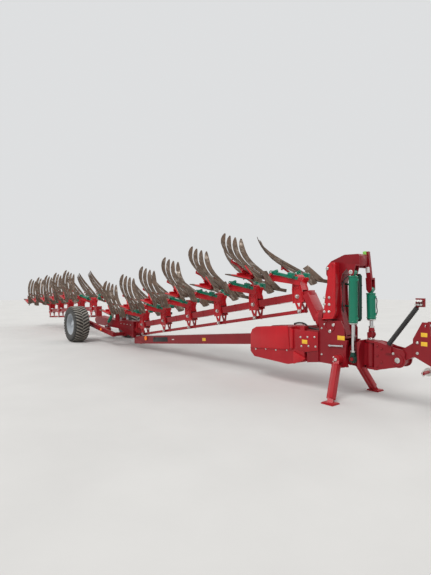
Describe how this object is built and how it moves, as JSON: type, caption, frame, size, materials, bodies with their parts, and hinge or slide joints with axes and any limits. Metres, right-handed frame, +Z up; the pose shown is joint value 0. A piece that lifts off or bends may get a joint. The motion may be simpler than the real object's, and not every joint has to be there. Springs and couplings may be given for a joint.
{
  "type": "semi-mounted reversible mouldboard plough",
  "caption": "Long semi-mounted turnover plough parked with both body rows upright, on a two-wheel carriage and two front legs, with a steerable drawbar.",
  "frame": {"origin": "centre of the plough's length and width, on the floor", "axes": "+X forwards in the driving direction, +Y to the left side, +Z up"},
  "size_m": [15.6194, 2.08, 2.4961],
  "materials": {
    "red_paint": "glossy red paint, dusty",
    "dark_red_paint": "dark red paint, semi-gloss, dusty",
    "bright_red_paint": "glossy red paint on bolted covers",
    "ram_green": "teal green paint, gloss",
    "dark_green": "dark green paint, gloss",
    "ram_chrome": "hard chromed rod",
    "board_steel": "soil-worn steel with a brown film and polished points",
    "tyre_rubber": "dusty black rubber",
    "rim_paint": "light grey paint"
  },
  "bodies": {
    "chassis": {"main_beam": "dark_red_paint", "service_housing": "red_paint", "beam_flange": "dark_red_paint", "tower": "dark_red_paint", "turnover_guard": "bright_red_paint", "carriage": "dark_red_paint"},
    "front_section": {"front_frame": "red_paint", "levelling_ram": "dark_green"},
    "rear_section": {"rear_frame": "red_paint"},
    "pair_1": {"stalks_1": "bright_red_paint", "mouldboards_1": "board_steel"},
    "pair_2": {"stalks_2": "bright_red_paint", "mouldboards_2": "board_steel"},
    "pair_3": {"stalks_3": "bright_red_paint", "mouldboards_3": "board_steel"},
    "pair_4": {"stalks_4": "bright_red_paint", "mouldboards_4": "board_steel"},
    "pair_5": {"stalks_5": "bright_red_paint", "mouldboards_5": "board_steel"},
    "pair_6": {"stalks_6": "bright_red_paint", "mouldboards_6": "board_steel"},
    "pair_7": {"stalks_7": "bright_red_paint", "mouldboards_7": "board_steel"},
    "pair_8": {"stalks_8": "bright_red_paint", "mouldboards_8": "board_steel"},
    "pair_9": {"stalks_9": "bright_red_paint", "mouldboards_9": "board_steel"},
    "pair_10": {"stalks_10": "bright_red_paint", "mouldboards_10": "board_steel"},
    "pair_11": {"stalks_11": "bright_red_paint", "mouldboards_11": "board_steel"},
    "front_rod": {"front_rod": "red_paint"},
    "rear_rod": {"rear_rod": "red_paint"},
    "lift_knuckle": {"lift_knuckle": "dark_red_paint"},
    "near_barrel": {"near_barrel": "ram_green"},
    "near_piston": {"near_piston": "ram_chrome"},
    "far_barrel": {"far_barrel": "ram_green"},
    "far_piston": {"far_piston": "ram_chrome"},
    "drawbar": {"drawbar": "dark_red_paint"},
    "headstock": {"headstock": "dark_red_paint"},
    "left_leg": {"left_leg": "red_paint"},
    "right_leg": {"right_leg": "red_paint"},
    "wheel_arms": {"wheel_arms": "dark_red_paint"},
    "wheel_ram_barrels": {"wheel_ram_barrels": "ram_green"},
    "wheel_ram_rods": {"wheel_ram_rods": "ram_chrome"},
    "left_wheel": {"left_tyre": "tyre_rubber", "left_rim": "rim_paint"},
    "right_wheel": {"right_tyre": "tyre_rubber", "right_rim": "rim_paint"}
  },
  "joints": [
    {"name": "front_turnover", "type": "hinge", "parent": "chassis", "child": "front_section", "pos_m": [6.05968, 0, 1.06], "axis": [0.9943, 0, 0.1064], "range_deg": [-90, 90]},
    {"name": "rear_turnover", "type": "hinge", "parent": "chassis", "child": "rear_section", "pos_m": [-2.08851, 0, 0.56], "axis": [0.9983, 0, 0.0576], "range_deg": [-90, 90]},
    {"name": "front_width", "type": "hinge", "parent": "front_section", "child": "pair_1", "pos_m": [5.60968, 0, 1.39], "axis": [0, 1, 0], "range_deg": [0, 11]},
    {"name": "width_2", "type": "hinge", "parent": "front_section", "child": "pair_2", "pos_m": [4.62404, 0, 1.2334], "axis": [0, 1, 0], "range_deg": [0, 11]},
    {"name": "width_3", "type": "hinge", "parent": "front_section", "child": "pair_3", "pos_m": [3.6384, 0, 1.0768], "axis": [0, 1, 0], "range_deg": [0, 11]},
    {"name": "width_4", "type": "hinge", "parent": "front_section", "child": "pair_4", "pos_m": [2.65277, 0, 0.9202], "axis": [0, 1, 0], "range_deg": [0, 11]},
    {"name": "width_5", "type": "hinge", "parent": "front_section", "child": "pair_5", "pos_m": [1.66713, 0, 0.7636], "axis": [0, 1, 0], "range_deg": [0, 11]},
    {"name": "width_6", "type": "hinge", "parent": "front_section", "child": "pair_6", "pos_m": [0.68149, 0, 0.607], "axis": [0, 1, 0], "range_deg": [0, 11]},
    {"name": "front_rod_swing", "type": "hinge", "parent": "pair_1", "child": "front_rod", "pos_m": [5.64655, 0, 1.15791], "axis": [0, 1, 0], "range_deg": [-11, 0]},
    {"name": "rear_width", "type": "hinge", "parent": "rear_section", "child": "pair_7", "pos_m": [-2.53851, 0, 0.87], "axis": [0, 1, 0], "range_deg": [0, 11]},
    {"name": "width_8", "type": "hinge", "parent": "rear_section", "child": "pair_8", "pos_m": [-3.53485, 0, 0.8125], "axis": [0, 1, 0], "range_deg": [0, 11]},
    {"name": "width_9", "type": "hinge", "parent": "rear_section", "child": "pair_9", "pos_m": [-4.53119, 0, 0.755], "axis": [0, 1, 0], "range_deg": [0, 11]},
    {"name": "width_10", "type": "hinge", "parent": "rear_section", "child": "pair_10", "pos_m": [-5.52754, 0, 0.6975], "axis": [0, 1, 0], "range_deg": [0, 11]},
    {"name": "width_11", "type": "hinge", "parent": "rear_section", "child": "pair_11", "pos_m": [-6.52388, 0, 0.64], "axis": [0, 1, 0], "range_deg": [0, 11]},
    {"name": "rear_rod_swing", "type": "hinge", "parent": "pair_7", "child": "rear_rod", "pos_m": [-2.52497, 0, 0.63539], "axis": [0, 1, 0], "range_deg": [-11, 0]},
    {"name": "front_lift", "type": "hinge", "parent": "chassis", "child": "lift_knuckle", "pos_m": [6.37268, 0, 0.535], "axis": [0, 1, 0], "range_deg": [-6, 6]},
    {"name": "near_ram_tilt", "type": "hinge", "parent": "chassis", "child": "near_barrel", "pos_m": [6.62968, -0.15, 1.738], "axis": [0, 1, 0], "range_deg": [-0.11, 0.11]},
    {"name": "near_ram_stroke", "type": "slide", "parent": "near_barrel", "child": "near_piston", "axis": [0, 0, -1], "range_m": [-0.0272, 0.0272]},
    {"name": "far_ram_tilt", "type": "hinge", "parent": "chassis", "child": "far_barrel", "pos_m": [6.71468, 0.15, 1.5], "axis": [0, 1, 0], "range_deg": [-3.3, 3.3]},
    {"name": "far_ram_stroke", "type": "slide", "parent": "far_barrel", "child": "far_piston", "axis": [0.0242, 0, -0.9997], "range_m": [-0.0389, 0.0389]},
    {"name": "steer", "type": "hinge", "parent": "lift_knuckle", "child": "drawbar", "pos_m": [6.80968, 0, 0.63], "axis": [0, 0, 1], "range_deg": [-50, 50]},
    {"name": "headstock_pitch", "type": "hinge", "parent": "drawbar", "child": "headstock", "pos_m": [7.22468, 0, 0.612], "axis": [0, 1, 0], "range_deg": [-30, 0]},
    {"name": "left_leg_fold", "type": "hinge", "parent": "chassis", "child": "left_leg", "pos_m": [6.42468, 0.218, 0.53], "axis": [0, 1, 0], "range_deg": [0, 80]},
    {"name": "right_leg_fold", "type": "hinge", "parent": "chassis", "child": "right_leg", "pos_m": [6.42468, -0.218, 0.53], "axis": [0, 1, 0], "range_deg": [0, 80]},
    {"name": "wheel_lift", "type": "hinge", "parent": "chassis", "child": "wheel_arms", "pos_m": [-0.23851, 0, 0.3], "axis": [0, 1, 0], "range_deg": [0, 12]},
    {"name": "wheel_rams_tilt", "type": "hinge", "parent": "chassis", "child": "wheel_ram_barrels", "pos_m": [-0.68851, 0, 0.85], "axis": [0, 1, 0], "range_deg": [0, 12.4]},
    {"name": "wheel_rams_stroke", "type": "slide", "parent": "wheel_ram_barrels", "child": "wheel_ram_rods", "axis": [-0.7311, 0, -0.6823], "range_m": [-0.15, 0]},
    {"name": "left_wheel_spin", "type": "hinge", "parent": "wheel_arms", "child": "left_wheel", "pos_m": [-1.73851, 0.83, 0.5], "axis": [0, 1, 0], "continuous": true},
    {"name": "right_wheel_spin", "type": "hinge", "parent": "wheel_arms", "child": "right_wheel", "pos_m": [-1.73851, -0.83, 0.5], "axis": [0, 1, 0], "continuous": true}
  ],
  "couplings": [
    {"joint": "width_2", "follows": "front_width", "ratio": 1},
    {"joint": "width_3", "follows": "front_width", "ratio": 1},
    {"joint": "width_4", "follows": "front_width", "ratio": 1},
    {"joint": "width_5", "follows": "front_width", "ratio": 1},
    {"joint": "width_6", "follows": "front_width", "ratio": 1},
    {"joint": "front_rod_swing", "follows": "front_width", "ratio": -1},
    {"joint": "width_8", "follows": "rear_width", "ratio": 1},
    {"joint": "width_9", "follows": "rear_width", "ratio": 1},
    {"joint": "width_10", "follows": "rear_width", "ratio": 1},
    {"joint": "width_11", "follows": "rear_width", "ratio": 1},
    {"joint": "rear_rod_swing", "follows": "rear_width", "ratio": -1},
    {"joint": "near_ram_tilt", "follows": "front_lift", "ratio": -0.01705},
    {"joint": "near_ram_stroke", "follows": "front_lift", "m_per_rad": 0.25669},
    {"joint": "far_ram_tilt", "follows": "front_lift", "ratio": -0.54267},
    {"joint": "far_ram_stroke", "follows": "front_lift", "m_per_rad": 0.36741},
    {"joint": "wheel_rams_tilt", "follows": "wheel_lift", "ratio": 1.0219},
    {"joint": "wheel_rams_stroke", "follows": "wheel_lift", "m_per_rad": -0.70956}
  ]
}
